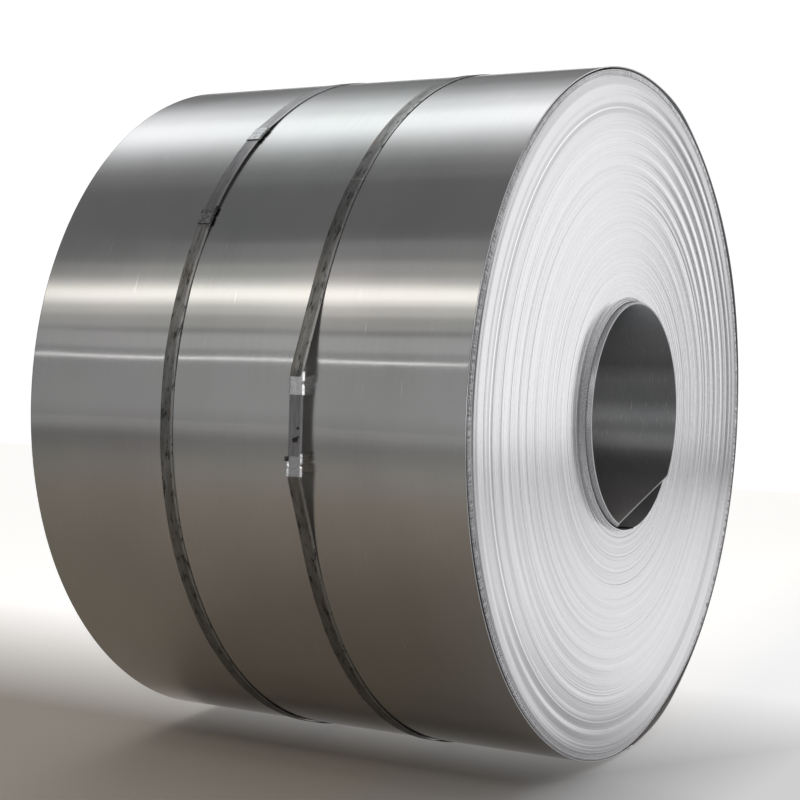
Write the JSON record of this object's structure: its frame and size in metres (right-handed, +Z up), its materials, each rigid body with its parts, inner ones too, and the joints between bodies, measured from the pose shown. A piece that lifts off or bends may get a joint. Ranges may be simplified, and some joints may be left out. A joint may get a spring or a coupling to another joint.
{
  "type": "steel coil",
  "caption": "Coil of wound cold-rolled steel strip on its side, with an open bore, telescoped inner laps and lapped steel straps held by crimped seals",
  "frame": {"origin": "the middle of the bore, on the coil's axis, half way along the innermost laps less their side shift", "axes": "X along the coil's axis with the telescoped inner laps at +X, Z up with the coil lying on its side"},
  "size_m": [1.1051, 1.5947, 1.5723],
  "materials": {
    "sheet_steel": "smooth cold-rolled",
    "strap_steel": "scuffed dark",
    "seal_steel": "galvanised"
  },
  "bodies": {
    "root": {"coil": "sheet_steel", "strap_left": "strap_steel", "strap_left_seal_upper": "seal_steel", "strap_left_seal_lower": "seal_steel", "strap_right": "strap_steel", "strap_right_seal_upper": "seal_steel", "strap_right_seal_lower": "seal_steel"}
  },
  "joints": []
}
